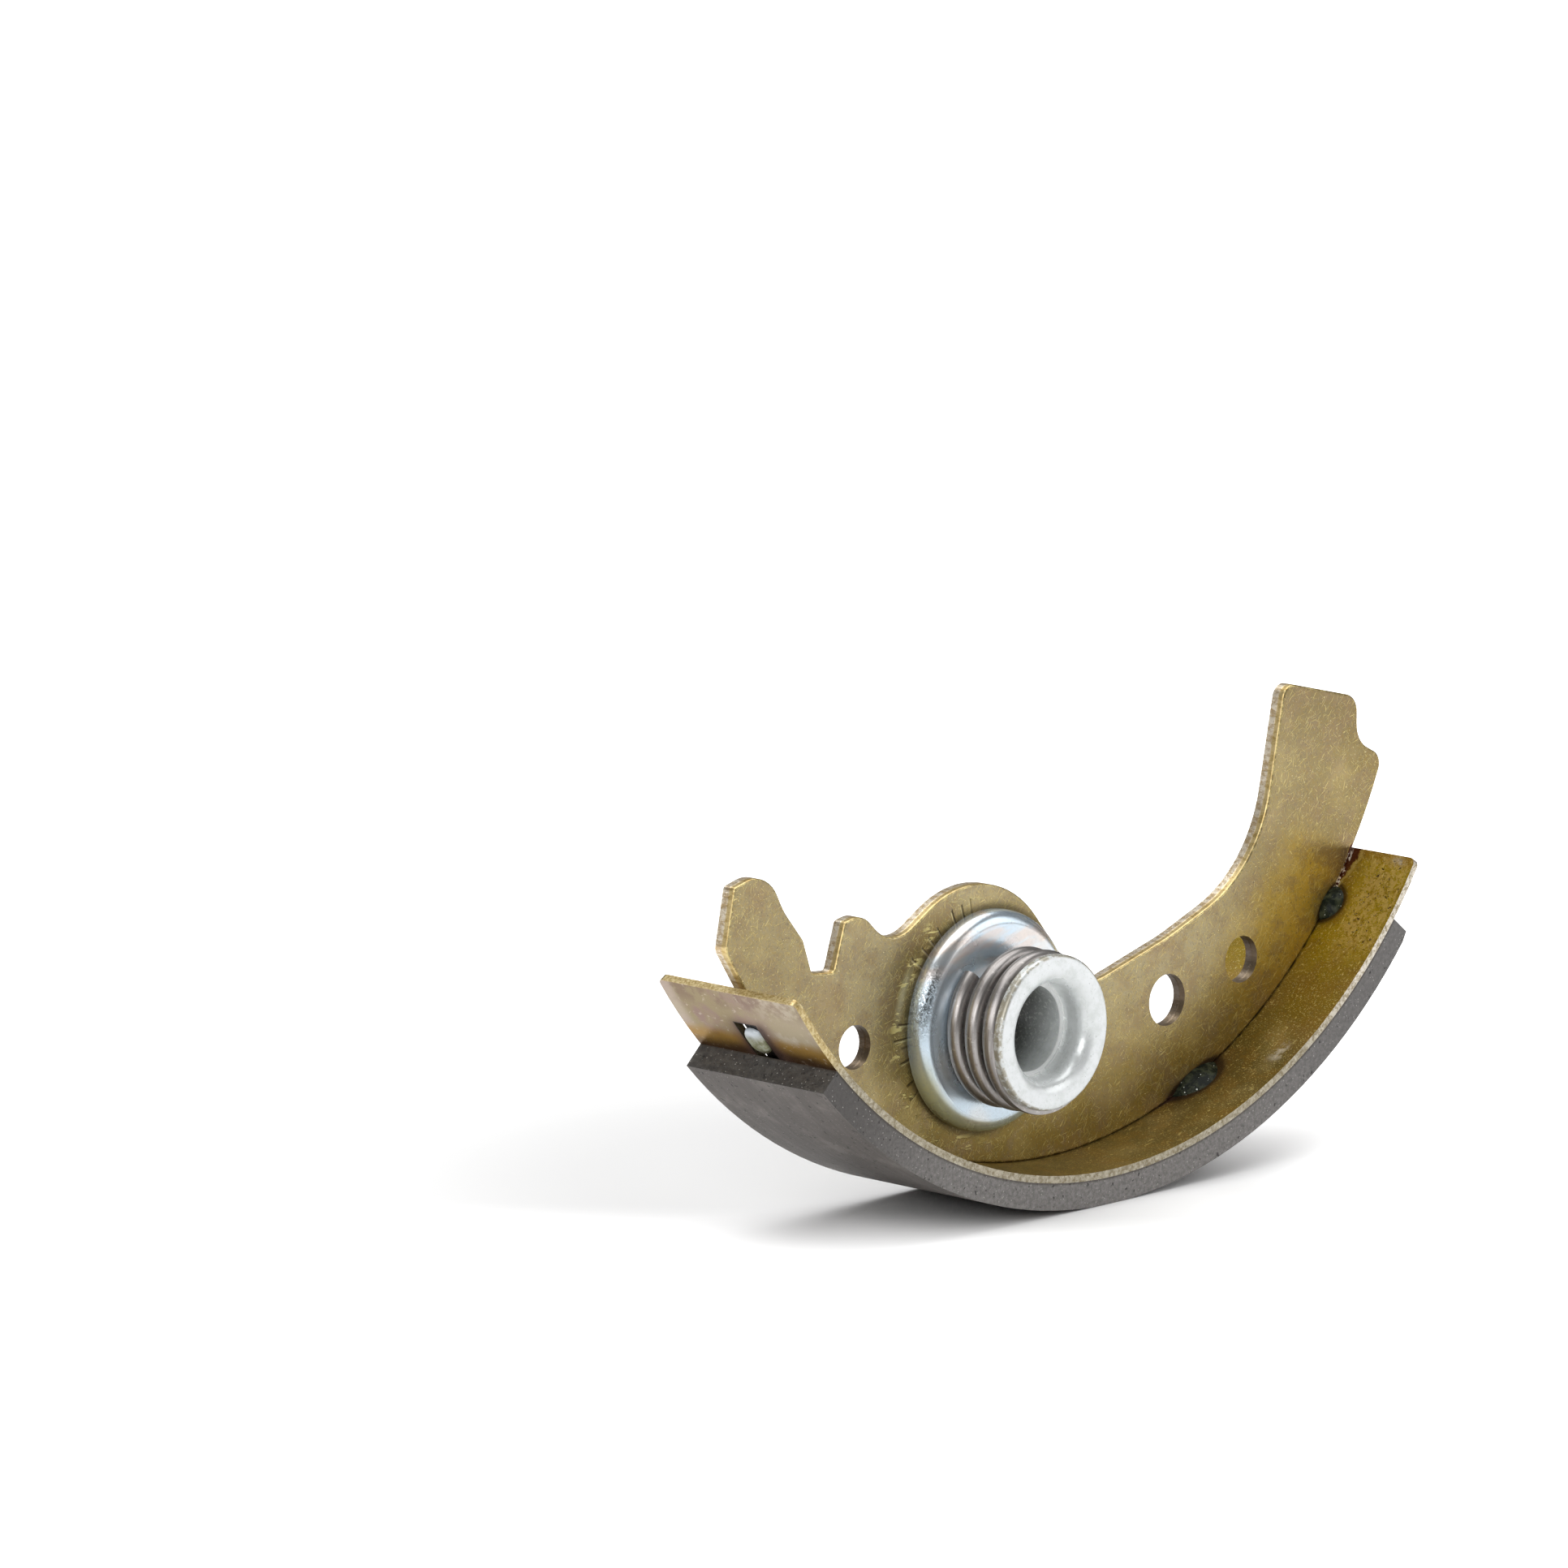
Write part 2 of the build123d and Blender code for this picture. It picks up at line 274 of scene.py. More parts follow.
def web_finish():
    """Thin tan coating on the faces, with a painted golden reflection of the rim near it and
    painted olive shade beside the washer, and a bright sheared edge.
    """
    paint = Paint("web_coated_steel")
    drum_radius = paint.radius_about(DRUM_X, DRUM_Z)
    drum_angle = paint.angle_about(DRUM_X, DRUM_Z)
    own_radius = paint.radius_about(0, 0)
    own_angle = paint.angle_about(0, 0)
    wander = paint.noise(45, 3.0)
    # Tan far from the rim, golden olive near it: a painted reflection of the rim in the web's face
    tan = srgb(168, 157, 127)
    reflected_gold = srgb(150, 128, 66)
    ragged = paint.times(paint.minus(wander, 0.5), 22 * MM)
    low = paint.between(paint.plus(drum_radius, ragged), RIM_INNER - 23 * MM, RIM_INNER - 3 * MM)
    rightward = paint.between(drum_angle, -40, -8)
    face = paint.mix(paint.times(low, paint.plus(paint.times(rightward, 0.75), 0.2)), tan, reflected_gold)
    arm = paint.times(paint.between(drum_angle, 32, 56), 0.8)
    face = paint.tint(face, srgb(138, 124, 88), arm)
    face = paint.tint(face, srgb(108, 92, 58), paint.between(drum_angle, 62, 76), 0.5)
    horn = paint.times(paint.between(drum_angle, -44, -54), 0.3)
    face = paint.tint(face, srgb(126, 112, 82), horn)
    # Painted warm reflection of the rim on the web's right side near it
    warm_reflection = paint.times(paint.between(drum_angle, 28, 47), paint.between(drum_angle, 58, 52), 0.85)
    warm_reflection = paint.times(warm_reflection, paint.between(drum_radius, RIM_INNER - 20 * MM, RIM_INNER - 6 * MM))
    face = paint.tint(face, srgb(210, 180, 78), warm_reflection)
    # Painted olive reflection of the rim near the web's bottom
    near_rim = paint.between(drum_radius, RIM_INNER - 15 * MM, RIM_INNER - 5 * MM)
    bottom_reflection = paint.times(paint.near(drum_angle, 0.0, 36.0), near_rim)
    face = paint.tint(face, srgb(124, 107, 48), bottom_reflection, 0.65)
    # Broad darker olive painted shade and reflection round the washer, widest on its left side
    leftward = paint.between(paint.x, -3 * MM, -18 * MM)
    width = paint.plus(paint.times(leftward, 5.5 * MM), WASHER_RADIUS + 1.5 * MM)
    width = paint.plus(width, paint.times(paint.minus(wander, 0.5), 9 * MM))
    washer_shade = paint.between(paint.minus(own_radius, width), 2.5 * MM, -3.5 * MM)
    face = paint.tint(face, srgb(118, 102, 46), washer_shade, 0.75)
    face, grain, scratch = steel_speckle(paint, face, srgb(138, 120, 98))
    # Painted pale highlight of a pressed dish beside the washer on the left
    dish_highlight = paint.near(own_radius, WASHER_RADIUS + 2.4 * MM, 1.3 * MM)
    dish_highlight = paint.times(dish_highlight, paint.near(paint.z, 7 * MM, 6.5 * MM))
    dish_highlight = paint.times(dish_highlight, paint.between(paint.x, -12 * MM, -16 * MM), 0.5)
    face = paint.tint(face, srgb(228, 222, 180), dish_highlight)
    # Press marks on the left: short irregular radial ticks with painted glints beside them, golden
    # flakes with painted glints, and painted shade in a close dark line
    step_count = 58.0
    turn = paint.plus(paint.times(own_angle, step_count / 360), step_count)
    step = paint.math("FLOOR", turn)
    white_noise = paint.node("ShaderNodeTexWhiteNoise", {"W": step}, noise_dimensions="1D")
    random = white_noise.outputs["Value"]
    offset = paint.times(paint.minus(random, 0.5), 0.5)
    line = paint.near(paint.minus(paint.math("FRACT", turn), offset), 0.5, 0.13)
    length = paint.times(random, 2.6 * MM)
    outer = paint.minus(paint.minus(own_radius, length), WASHER_RADIUS + 0.6 * MM)
    line = paint.times(line, paint.between(outer, 0.4 * MM, 0.0), paint.between(random, 0.22, 0.30))
    upper_left = paint.between(paint.minus(paint.z, paint.times(paint.x, 2.2)), 18 * MM, 34 * MM)
    tick = paint.times(line, upper_left)
    face = paint.tint(face, srgb(58, 46, 18), tick, 0.85)
    # Painted glints beside the ticks
    tick_glint = paint.near(paint.minus(paint.math("FRACT", turn), offset), 0.66, 0.09)
    tick_glint = paint.times(tick_glint, paint.between(outer, 0.2 * MM, -0.2 * MM))
    tick_glint = paint.times(tick_glint, paint.between(random, 0.4, 0.5), upper_left)
    face = paint.tint(face, srgb(232, 220, 164), tick_glint, 0.55)
    # Golden flakes, bright with painted glints
    flake_area = paint.near(own_radius, WASHER_RADIUS + 2.2 * MM, 2.6 * MM)
    flake_area = paint.times(flake_area, paint.between(paint.x, 2 * MM, -10 * MM))
    flake_noise = paint.noise(1.0, 3.0, 0.6, paint.stretched((260, 260, 900)))
    glinting_flake = paint.times(paint.between(flake_noise, 0.58, 0.64), flake_area)
    face = paint.tint(face, srgb(240, 226, 150), glinting_flake, 0.8)
    # Painted shade close round the washer's foot
    washer_foot_shade = paint.between(own_radius, WASHER_RADIUS + 1.6 * MM, WASHER_RADIUS + 0.2 * MM)
    face = paint.tint(face, srgb(58, 48, 20), washer_foot_shade, 0.7)
    # Dark joint line along the rim
    joint = paint.between(drum_radius, RIM_INNER - 0.3 * MM, RIM_INNER - 0.1 * MM)
    broken = broken_line(paint, drum_angle)
    face = paint.tint(face, srgb(52, 42, 20), joint, paint.plus(0.15, paint.times(broken, 0.65)))
    face = welded_places(paint, face, drum_radius, drum_angle)
    # Sheared edge: smooth and golden in front, torn and glinting behind
    torn = paint.between(paint.y, -0.3 * MM, 0.1 * MM)
    rough_grain = paint.noise(1.0, 4.0, 0.7, paint.stretched((1300, 600, 1300)))
    edge = paint.graded(rough_grain, 0.38, 0.60, srgb(204, 178, 136), srgb(250, 238, 216))
    smooth = paint.graded(rough_grain, 0.3, 0.6, srgb(192, 162, 98), srgb(230, 206, 148))
    edge = paint.mix(torn, smooth, edge)
    facing = paint.math("ABSOLUTE", paint.normal_y)
    is_edge = paint.between(facing, 0.8, 0.5)
    # Painted golden highlight with glints along the rolled front edge
    rolled_highlight = paint.times(paint.between(facing, 0.985, 0.93), paint.between(facing, 0.35, 0.6))
    color = paint.mix(is_edge, face, edge)
    glitter = paint.between(rough_grain, 0.42, 0.60)
    color = paint.tint(color, srgb(246, 226, 156), rolled_highlight, glitter, 0.6)
    # Shaded walls of the three spring holes, lighter at the bottom
    for hole in SPRING_HOLES:
        middle = mounts[hole]
        from_hole = paint.radius_about(middle.x, middle.z)
        wall = paint.times(is_edge, paint.between(from_hole, HOLE_REACH + 0.4 * MM, HOLE_REACH))
        lowness = paint.between(paint.minus(paint.z, middle.z), 0.5 * MM, -3.2 * MM)
        wall_color = paint.mix(lowness, srgb(84, 70, 62), srgb(150, 132, 112))
        color = paint.tint(color, wall_color, wall, 0.9)
    # Painted shade where the web stands in the rim's slot
    in_slot = paint.between(drum_radius, RIM_INNER + 0.1 * MM, RIM_INNER + 0.3 * MM)
    color = paint.tint(color, srgb(26, 22, 18), in_slot)
    height = paint.plus(paint.times(grain, 0.12), paint.times(scratch, -0.12))
    height = paint.minus(height, tick)
    height = paint.plus(height, paint.times(glinting_flake, 0.6))
    height = paint.plus(height, paint.times(rough_grain, is_edge, torn, 0.6))
    paint.bump(height, 0.12 * MM)
    roughness = paint.plus(0.27, paint.times(paint.noise(500), 0.14))
    return paint.finish(color, roughness, 0.7)


def welded_places(paint, color, drum_radius, angle):
    """Brown halos with a dark ring of painted shade and a tail round the drops, and the red-brown
    seep at the joint's right end.
    """
    depth = paint.math("ABSOLUTE", paint.minus(RIM_INNER, drum_radius))
    from_web = paint.math("ABSOLUTE", paint.minus(paint.math("ABSOLUTE", paint.y), HALF_WEB))
    for weld_angle, half_length, width, height in WELDS:
        along = paint.math("DIVIDE", paint.minus(angle, weld_angle), half_length)
        inward = paint.math("DIVIDE", depth, height)
        across = paint.plus(inward, paint.math("DIVIDE", from_web, width))
        square = paint.plus(paint.times(along, along), paint.times(across, across))
        outline = paint.math("SQRT", square)
        # Brown halo round each drop, and a dark ring of painted shade at its foot
        color = paint.tint(color, srgb(104, 74, 30), paint.between(outline, 1.9, 1.0), 0.4)
        color = paint.tint(color, srgb(48, 28, 18), paint.between(outline, 1.35, 1.05), 0.85)
    # Thin tail at the left end of the second drop
    taper = paint.times(paint.between(angle, 15.8, 20.6), 0.6 * MM)
    spill = paint.minus(paint.plus(depth, from_web), taper)
    tail = paint.between(spill, 0.12 * MM, -0.05 * MM)
    tail = paint.times(tail, paint.between(angle, 15.8, 16.4))
    tail = paint.times(tail, paint.between(angle, 21.0, 20.4), 0.85)
    color = paint.tint(color, srgb(78, 52, 44), tail)
    # Seep at the joint's right end, with a pale edge and painted glints on bright beads
    blots = paint.noise(800, 4.0, 0.7)
    ragged = paint.times(paint.minus(blots, 0.5), 2.2 * MM)
    limit = paint.plus(paint.times(paint.between(angle, 52.5, 58.0), 2.0 * MM), ragged)
    away = paint.minus(paint.plus(from_web, paint.times(depth, 3.0)), limit)
    reach = paint.times(paint.between(angle, 52.2, 53.4), paint.between(angle, 58.3, 57.8))
    pale = paint.times(paint.near(away, 0.5 * MM, 0.5 * MM), reach, 0.6)
    color = paint.tint(color, srgb(214, 190, 112), pale)
    seep = paint.times(paint.between(away, 0.25 * MM, -0.1 * MM), reach)
    color = paint.tint(color, srgb(84, 28, 16), seep, 0.92)
    beads = paint.between(paint.noise(1500, 2.0), 0.48, 0.56)
    line = paint.between(paint.plus(depth, from_web), 0.65 * MM, 0.3 * MM)
    line = paint.times(beads, line)
    glint = paint.times(line, paint.between(angle, 52.4, 52.9), paint.between(angle, 57.9, 57.0))
    return paint.mix(glint, color, srgb(250, 240, 226))


def rim_finish():
    """Olive-brown inside, bright cut edges, and bare pink and golden ends outside."""
    paint = Paint("rim_coated_steel")
    drum_radius = paint.radius_about(DRUM_X, DRUM_Z)
    angle = paint.angle_about(DRUM_X, DRUM_Z)
    wander = paint.noise(60, 4.0, 0.6)
    olive = srgb(108, 94, 46)
    mustard = srgb(180, 154, 24)
    inside = paint.mix(paint.between(angle, 26, 54), olive, mustard)
    inside = paint.tint(inside, srgb(140, 114, 36), paint.between(wander, 0.42, 0.62), 0.4)
    ends = paint.plus(angle, paint.times(wander, 3.0))
    ends = paint.between(ends, RIM_RIGHT - 0.8, RIM_RIGHT + 1.0)
    inside = paint.tint(inside, srgb(150, 96, 34), ends, 0.5)
    inside, grain, scratch = steel_speckle(paint, inside, srgb(142, 112, 44))
    # Rust blooms and pits in front of the web at the right end
    spread = paint.times(paint.between(angle, 43, 49), paint.between(angle, 58.5, 56.5))
    spread = paint.times(spread, paint.between(paint.y, -4.5 * MM, -8.0 * MM))
    spread = paint.times(spread, paint.between(paint.y, -15.0 * MM, -14.0 * MM))
    rusty = paint.times(spread, paint.between(paint.noise(1150, 5.0, 0.75), 0.44, 0.54))
    inside = paint.tint(inside, srgb(228, 196, 116), rusty, 0.65)
    pits = paint.noise(1300, 3.0, 0.6, paint.stretched((1, 1, 1), 0, 4.0))
    pits = paint.times(paint.between(pits, 0.60, 0.66), spread)
    inside = paint.tint(inside, srgb(60, 40, 14), pits, 0.9)
    # Two light grey rubbed places
    for smear_angle, reach in ((30.5, 2.6), (57.0, 0.9)):
        cloud = paint.between(paint.noise(420, 4.0, 0.7), 0.42, 0.62)
        smear = paint.near(angle, smear_angle, reach)
        smear = paint.times(smear, paint.near(paint.y, -11.7 * MM, 2.2 * MM), cloud)
        inside = paint.tint(inside, srgb(226, 216, 196), smear, 0.75)
    # Dark joint line along the web
    joint = paint.near(paint.y, WEB_FRONT, 0.4 * MM)
    broken = broken_line(paint, angle)
    inside = paint.tint(inside, srgb(30, 22, 10), joint, paint.plus(0.25, paint.times(broken, 0.6)))
    inside = welded_places(paint, inside, drum_radius, angle)
    # Outside: pinkish, with a painted sheen towards the front and a painted highlight along the
    # rear edge, turning golden and then dark towards the lining at both ends
    blend = paint.between(paint.noise(160, 3.0), 0.4, 0.6)
    pink = paint.mix(blend, srgb(160, 132, 118), srgb(166, 148, 112))
    # Painted sheen, lighter towards the front
    front_sheen = paint.times(paint.between(paint.y, 6 * MM, -12 * MM), 0.7)
    pink = paint.tint(pink, srgb(198, 184, 156), front_sheen)
    cloudy = paint.noise(200, 4.0, 0.65)
    # Painted highlight along the rear edge
    rear_highlight = paint.times(paint.between(paint.y, 11.5 * MM, 14.0 * MM), 0.5)
    pink = paint.tint(pink, srgb(222, 208, 192), rear_highlight)
    purple = paint.times(paint.between(cloudy, 0.45, 0.58), paint.between(angle, -52.6, -54.8))
    pink = paint.tint(pink, srgb(120, 86, 82), purple, 0.45)
    wiped = paint.times(paint.between(cloudy, 0.50, 0.42), paint.between(paint.y, -3 * MM, -9 * MM))
    pink = paint.tint(pink, srgb(216, 206, 190), wiped, 0.45)
    mirrored = paint.math("MINIMUM", angle, paint.minus(LINING_LEFT + LINING_RIGHT, angle))
    limit = paint.plus(mirrored, paint.times(paint.minus(wander, 0.5), 3.5))
    outside = paint.mix(paint.between(limit, -50.5, -48.6), pink, srgb(176, 136, 62))
    outside = paint.tint(outside, srgb(92, 62, 30), paint.between(limit, -48.6, -46.6))
    # Stains round the slot
    from_slot = paint.math("ABSOLUTE", paint.plus(paint.y, 0.6 * MM))
    is_left = paint.between(angle, 0, -10)
    stain = paint.between(from_slot, 6.5 * MM, 2.6 * MM)
    stain = paint.times(stain, paint.between(limit, -53.2, -50.6), is_left)
    outside = paint.tint(outside, srgb(112, 80, 72), stain, 0.7)
    burnt = paint.between(from_slot, 4.2 * MM, 2.3 * MM)
    burnt = paint.times(burnt, paint.between(limit, -52.4, -50.8), is_left)
    outside = paint.tint(outside, srgb(64, 44, 40), burnt, 0.75)
    bare = paint.times(paint.between(paint.noise(900, 4.0, 0.7), 0.60, 0.68), 0.5)
    outside = paint.tint(outside, srgb(226, 212, 190), bare)
    is_outside = paint.between(drum_radius, RIM_OUTER - 0.35 * MM, RIM_OUTER - 0.1 * MM)
    color = paint.mix(is_outside, inside, outside)
    # Cut edges: grey-gold with fine glints, brighter at the right end and golden at the left end
    edge_grain = paint.noise(1900, 4.0, 0.7)
    edge = paint.graded(edge_grain, 0.34, 0.64, srgb(136, 124, 98), srgb(190, 182, 162))
    bright_edge = paint.graded(edge_grain, 0.36, 0.58, srgb(152, 138, 108), srgb(224, 216, 202))
    edge = paint.tint(edge, bright_edge, paint.between(angle, 30, 44))
    edge = paint.tint(edge, srgb(246, 242, 230), paint.between(edge_grain, 0.64, 0.70), 0.6)
    end_edge = paint.graded(edge_grain, 0.36, 0.62, srgb(172, 146, 90), srgb(220, 202, 152))
    edge = paint.tint(edge, end_edge, paint.between(angle, -44, -49))
    is_edge = paint.between(paint.math("ABSOLUTE", paint.normal_y), 0.5, 0.8)
    color = paint.tint(color, edge, is_edge)
    color = paint.tint(color, end_edge, paint.between(angle, RIM_LEFT + 0.2, RIM_LEFT + 0.1))
    # Painted shade on the walls of the slot
    off_middle = paint.math("ABSOLUTE", paint.y)
    slot_side = paint.between(off_middle, HALF_SLOT + 0.2 * MM, HALF_SLOT + 0.05 * MM)
    slot_wall = paint.times(paint.between(angle, SLOT_RIGHT + 0.3, SLOT_RIGHT), slot_side)
    slot_wall = paint.times(slot_wall, paint.between(angle, SLOT_LEFT - 0.2, SLOT_LEFT - 0.05))
    color = paint.tint(color, srgb(30, 24, 20), slot_wall, 0.9)
    height = paint.plus(paint.times(grain, 0.12), paint.times(edge_grain, is_edge))
    height = paint.minus(height, paint.times(pits, 0.8))
    height = paint.minus(height, paint.times(scratch, 0.12))
    paint.bump(height, 0.12 * MM)
    roughness = paint.plus(0.27, paint.times(paint.noise(500), 0.14))
    return paint.finish(color, roughness, 0.7)


def lining_finish():
    """Grey friction compound with light specks and dark pores; its left end is rough and darker."""
    paint = Paint("friction_compound")
    angle = paint.angle_about(DRUM_X, DRUM_Z)
    drum_radius = paint.radius_about(DRUM_X, DRUM_Z)
    is_side = paint.between(paint.math("ABSOLUTE", paint.normal_y), 0.5, 0.8)
    is_outer = paint.between(drum_radius, DRUM_RADIUS - 0.3 * MM, DRUM_RADIUS - 0.05 * MM)
    is_outer = paint.times(is_outer, paint.minus(1.0, is_side))
    is_end = paint.between(angle, LINING_LEFT + 0.1, LINING_LEFT + 0.02)
    is_end = paint.times(is_end, paint.minus(1.0, is_side))
    grain = paint.noise(1400, 5.0, 0.75)
    side = paint.graded(grain, 0.3, 0.7, srgb(108, 105, 103), srgb(149, 145, 142))
    # The side is darker towards both ends
    side = paint.tint(side, srgb(78, 75, 73), paint.between(angle, -22, -44), 0.8)
    side = paint.tint(side, srgb(108, 106, 105), paint.between(angle, 20, 42), 0.5)
    # Ground outer face: smoother, with faint cross-wise marks
    streaks = paint.noise(1.0, 4.0, 0.65, paint.stretched((70, 900, 70)))
    outer = paint.graded(streaks, 0.30, 0.70, srgb(98, 92, 88), srgb(112, 106, 102))
    clouds = paint.noise(130, 4.0, 0.6)
    outer = paint.tint(outer, srgb(90, 85, 81), paint.between(clouds, 0.42, 0.62), 0.4)
    outer = paint.tint(outer, srgb(138, 132, 126), paint.between(clouds, 0.47, 0.36), 0.4)
    base = paint.mix(is_outer, side, outer)
    end = paint.graded(paint.noise(700, 6.0, 0.75), 0.30, 0.70, srgb(58, 55, 52), srgb(90, 87, 82))
    base = paint.tint(base, end, is_end)
    specks = paint.between(paint.cells(1300), 0.17, 0.09)
    specks = paint.times(specks, paint.minus(1.0, paint.times(is_outer, 0.6)))
    base = paint.tint(base, srgb(222, 218, 212), specks, 0.6)
    pores = paint.noise(1000, 2.0, 0.5, paint.stretched((1, 1, 1), 0, 9.0))
    pores = paint.between(pores, 0.65, 0.71)
    base = paint.tint(base, srgb(40, 38, 36), pores, 0.75)
    # Brown adhesive along the rim
    glue = paint.between(drum_radius, RIM_OUTER + 0.5 * MM, RIM_OUTER + 0.1 * MM)
    base = paint.tint(base, srgb(58, 48, 34), glue, 0.6)
    rough_height = paint.plus(grain, paint.times(specks, 0.5))
    rough_height = paint.minus(rough_height, pores)
    calm = paint.minus(1.0, paint.times(is_outer, 0.65))
    coarse = paint.times(paint.noise(330, 5.0, 0.65), is_end, 6.0)
    paint.bump(paint.plus(paint.times(rough_height, calm), coarse), 0.10 * MM)
    roughness = paint.minus(0.75, paint.times(is_outer, 0.17))
    return paint.finish(base, roughness, 0.0)


def washer_finish():
    """Bluish zinc with faint straw streaks, an olive painted reflection of the web on its foot, and
    grain where it was pressed.
    """
    paint = Paint("washer_zinc")
    own_radius = paint.radius_about(0, 0)
    drift = paint.noise(85, 2.5)
    color = paint.graded(drift, 0.40, 0.62, srgb(208, 224, 236), srgb(226, 228, 228))
    streak = paint.noise(1.0, 3.0, 0.6, paint.stretched((60, 60, 240), 0.25))
    top = paint.times(paint.between(paint.z, 4 * MM, 12 * MM), paint.between(streak, 0.50, 0.60))
    color = paint.tint(color, srgb(232, 206, 188), top, 0.5)
    # Olive painted reflection of the web on the foot's low side
    lowness = paint.plus(paint.times(paint.x, 0.3), paint.times(paint.z, 0.9))
    low = paint.between(lowness, -6 * MM, -13 * MM)
    foot_reflection = paint.between(own_radius, WASHER_RADIUS - 2.6 * MM, WASHER_RADIUS - 0.3 * MM)
    foot_reflection = paint.times(low, foot_reflection)
    color = paint.tint(color, srgb(208, 206, 148), foot_reflection, 0.85)
    # Pressed grain on the shoulder's left side
    grain = paint.noise(2300, 3.0, 0.65)
    left = paint.between(paint.x, -10 * MM, -14 * MM)
    left = paint.times(left, paint.near(paint.z, 5 * MM, 8 * MM))
    pressed = paint.times(left, paint.near(own_radius, WASHER_RADIUS - 0.9 * MM, 1.9 * MM))
    pressed = paint.times(pressed, paint.between(grain, 0.43, 0.52))
    color = paint.tint(color, srgb(64, 68, 68), pressed, 0.85)
    color = paint.tint(color, srgb(160, 168, 172), paint.between(grain, 0.5, 0.3), 0.3)
    paint.bump(paint.plus(paint.times(grain, 0.4), paint.times(pressed, 1.5)), 0.02 * MM)
    roughness = paint.plus(0.20, paint.times(paint.noise(260), 0.12))
    metallic = paint.minus(0.75, paint.times(foot_reflection, 0.5))
    return paint.finish(color, roughness, metallic)


def sleeve_finish():
    """Pale zinc flange, a grey-green flare, and a grainy bore with painted shade and sparkle behind
    a painted bright step.
    """
    paint = Paint("sleeve_zinc")
    own_radius = paint.radius_about(0, 0)
    mottle = paint.noise(700, 4.0, 0.7)
    color = paint.graded(mottle, 0.30, 0.60, srgb(222, 226, 225), srgb(238, 241, 242))
    speck = paint.times(paint.between(paint.noise(1900, 2.0), 0.66, 0.72), 0.35)
    color = paint.tint(color, srgb(150, 156, 152), speck)
    flare = paint.between(own_radius, MOUTH_RADIUS + 2.75 * MM, MOUTH_RADIUS + 0.55 * MM)
    color = paint.tint(color, srgb(208, 216, 208), flare, 0.15)
    # Mottled olive on the flange's outer edge
    rim_edge = paint.between(own_radius, FLANGE_RADIUS - 0.6 * MM, FLANGE_RADIUS - 0.2 * MM)
    rim_edge = paint.times(rim_edge, paint.between(mottle, 0.40, 0.55))
    color = paint.tint(color, srgb(140, 128, 92), rim_edge, 0.7)
    # Bore: painted shade behind the step but for its low far side, with painted sparkle that is
    # brighter on the lit side
    bore = paint.between(own_radius, MOUTH_RADIUS - 0.1 * MM, MOUTH_RADIUS - 0.55 * MM)
    depth = paint.times(bore, paint.between(paint.y, RING_Y - 0.1 * MM, RING_Y + 0.3 * MM))
    inward = paint.plus(paint.y, paint.times(paint.z, 0.55))
    sheltered = paint.between(inward, -13.0 * MM, -1.5 * MM)
    bore_shade = paint.times(depth, sheltered, 0.95)
    color = paint.tint(color, srgb(50, 52, 46), bore_shade)
    sparkle = paint.between(paint.noise(1900, 3.0, 0.7), 0.54, 0.64)
    lit = paint.minus(1.0, paint.times(sheltered, 0.75))
    color = paint.tint(color, srgb(236, 240, 234), sparkle, depth, lit, 0.8)
    # Painted highlight on the step's edge
    step = paint.between(own_radius, MOUTH_RADIUS + 0.25 * MM, MOUTH_RADIUS + 0.05 * MM)
    step = paint.times(paint.near(paint.y, RING_Y, 0.35 * MM), step)
    color = paint.tint(color, srgb(252, 253, 252), step)
    grain = paint.noise(1700, 3.0, 0.6)
    coarse = paint.times(paint.noise(1500, 3.0), depth, 4.0)
    paint.bump(paint.plus(grain, coarse), 0.025 * MM)
    roughness = paint.plus(0.36, paint.times(paint.noise(260), 0.10))
    roughness = paint.plus(roughness, paint.times(depth, 0.15))
    roughness = paint.minus(roughness, paint.times(flare, 0.14))
    metallic = paint.minus(0.5, paint.times(paint.plus(flare, bore), 0.2))
    return paint.finish(color, roughness, metallic)


def spring_finish():
    """Drawn spring wire: brown-grey with fine lines along it."""
    paint = Paint("spring_wire")
    lines = paint.noise(1.0, 3.0, 0.6, paint.stretched((120, 2600, 120)))
    color = paint.graded(lines, 0.30, 0.70, srgb(142, 137, 134), srgb(176, 172, 170))
    grain = paint.noise(1500, 3.0)
    color = paint.tint(color, srgb(104, 84, 72), paint.between(grain, 0.6, 0.7), 0.3)
    color = paint.tint(color, srgb(236, 232, 226), paint.between(grain, 0.38, 0.32), 0.3)
    paint.bump(lines, 0.004 * MM)
    return paint.finish(color, 0.34, 0.8)


def drop_finish():
    """Glossy green-black drop with a few sharp glints."""
    paint = Paint("weld_drop")
    waves = paint.noise(900, 3.0)
    color = paint.graded(waves, 0.40, 0.65, srgb(20, 26, 20), srgb(58, 62, 46))
    glint = paint.between(paint.noise(1900, 1.0), 0.73, 0.76)
    color = paint.tint(color, srgb(236, 240, 232), glint)
    paint.bump(waves, 0.12 * MM)
    return paint.finish(color, 0.22, 0.0, Specular_IOR_Level=0.08)


def bead_finish():
    """Glassy grey-green bead with a painted pale highlight at its upper end and painted brown shade
    towards the lining.
    """
    paint = Paint("weld_bead")
    angle = paint.angle_about(DRUM_X, DRUM_Z)
    waves = paint.noise(650, 3.0)
    color = paint.graded(waves, 0.40, 0.60, srgb(136, 136, 104), srgb(176, 178, 156))
    # Painted blue-white highlight on the upper end
    color = paint.tint(color, srgb(206, 214, 220), paint.between(angle, -48.9, -50.2))
    # Painted brown shade on the lower end, towards the lining
    color = paint.tint(color, srgb(64, 58, 36), paint.between(angle, -47.9, -47.2), 0.85)
    paint.bump(waves, 0.18 * MM)
    return paint.finish(color, 0.16, 0.0, Coat_Weight=0.3)


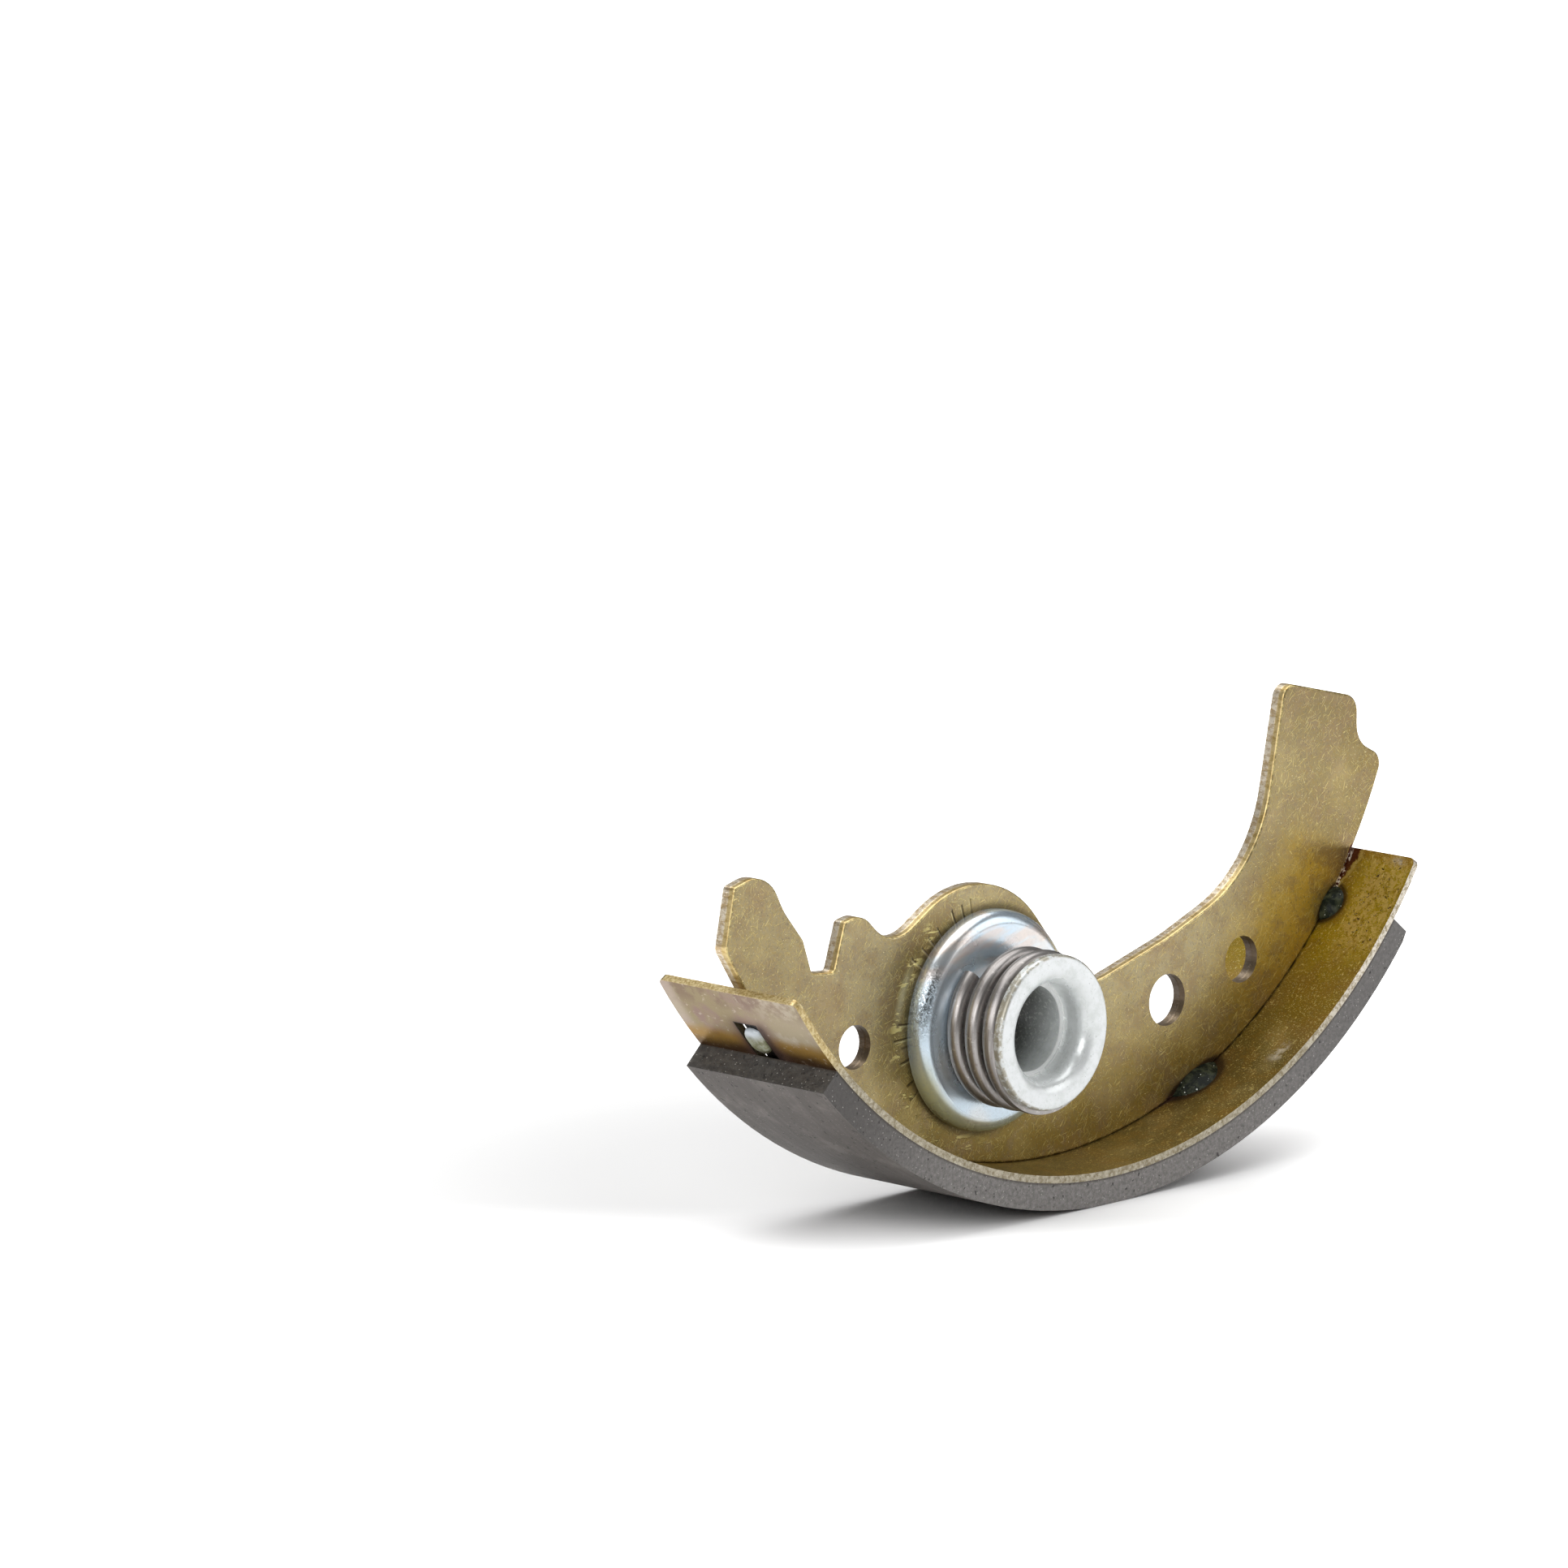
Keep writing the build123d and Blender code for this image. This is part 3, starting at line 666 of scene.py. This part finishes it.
def floor_finish():
    """White floor that keeps the object's shadow and turns fully white further out."""
    paint = Paint("floor_white")
    inputs = {0: paint.place, 1: SHADOW_MIDDLE}
    away = paint.node("ShaderNodeVectorMath", inputs, operation="DISTANCE").outputs["Value"]
    rays = paint.node("ShaderNodeLightPath").outputs
    seen = paint.math("MAXIMUM", rays["Is Camera Ray"], rays["Is Glossy Ray"])
    near_glow = paint.times(paint.between(away, 0.035, 0.12), 0.3)
    glow = paint.plus(near_glow, paint.times(paint.between(away, 0.12, 0.5), 0.7))
    glow = paint.times(glow, seen)
    # The shadow's far ends, in front on the left and behind on the right, are lighter
    forward = paint.plus(paint.x, paint.times(paint.y, 0.8))
    left_end = paint.times(paint.between(forward, -6 * MM, -58 * MM), 0.70)
    right_end = paint.times(paint.between(paint.x, 35 * MM, 75 * MM), 0.45)
    lift = paint.times(paint.math("MAXIMUM", left_end, right_end), rays["Is Camera Ray"])
    emission = {"Emission_Color": (1, 1, 1, 1), "Emission_Strength": paint.plus(glow, lift)}
    return paint.finish(FLOOR_WHITE, 0.9, 0.0, Specular_IOR_Level=0.0, **emission)


def dress(material, *nodes):
    """Give CAD nodes a material in their slots."""
    for node in nodes:
        mesh = frame["nodes"][node].data
        mesh.materials.clear()
        mesh.materials.append(material)


dress(web_finish(), "web")
dress(rim_finish(), "rim")
dress(lining_finish(), "lining")
dress(bead_finish(), "plug_weld")
dress(drop_finish(), "weld_front_1", "weld_front_2", "weld_rear_1", "weld_rear_2")
dress(washer_finish(), "front_washer", "rear_washer")
dress(sleeve_finish(), "front_sleeve", "rear_sleeve")
dress(spring_finish(), "spring")


def build_floor():
    """Wide plane under the object."""
    mesh = bpy.data.meshes.new("floor")
    shape = bmesh.new()
    bmesh.ops.create_grid(shape, x_segments=4, y_segments=4, size=FLOOR_HALF)
    shape.to_mesh(mesh)
    shape.free()
    floor = bpy.data.objects.new("floor", mesh)
    floor.location = (0, 0, FLOOR_Z)
    mesh.materials.append(floor_finish())
    bpy.context.collection.objects.link(floor)


def add_area_light(name, place, target, size, power):
    """Square soft light aimed at a point."""
    light = bpy.data.lights.new(name, "AREA")
    light.size = size
    light.energy = power
    holder = bpy.data.objects.new(name, light)
    holder.location = place
    holder.rotation_euler = (Vector(target) - Vector(place)).to_track_quat("-Z", "Y").to_euler()
    bpy.context.collection.objects.link(holder)


def build_world():
    """White studio, darker behind the camera, and a white background for the camera."""
    world = bpy.data.worlds.new("studio")
    world.use_nodes = True
    bpy.context.scene.world = world
    tree = world.node_tree
    coordinates = add_node(tree, "ShaderNodeTexCoord")
    inputs = {0: coordinates.outputs["Generated"], 1: DARK_SIDE}
    dot = add_node(tree, "ShaderNodeVectorMath", inputs, operation="DOT_PRODUCT")
    inputs = {"Value": dot.outputs["Value"], "From Min": 0.15, "From Max": 0.95}
    spread = add_node(tree, "ShaderNodeMapRange", {**inputs, "To Min": 0.95, "To Max": 0.35})
    rays = add_node(tree, "ShaderNodeLightPath")
    inputs = {0: spread.outputs["Result"], 1: rays.outputs["Is Camera Ray"]}
    strength = add_node(tree, "ShaderNodeMath", inputs, operation="MAXIMUM")
    feed(tree, tree.nodes["Background"].inputs["Strength"], strength.outputs[0])


def build_camera():
    """Camera of long focal length, without roll."""
    camera = bpy.data.cameras.new("camera")
    camera.lens = CAMERA_LENS
    camera.sensor_width = 36.0
    holder = bpy.data.objects.new("camera", camera)
    holder.location = CAMERA_PLACE
    holder.rotation_euler = (math.radians(90 - CAMERA_DIP), 0, math.radians(CAMERA_TURN))
    bpy.context.collection.objects.link(holder)
    bpy.context.scene.camera = holder


build_floor()
build_world()
for light_settings in LIGHTS:
    add_area_light(*light_settings)
build_camera()
bpy.context.scene.view_settings.view_transform = "Standard"
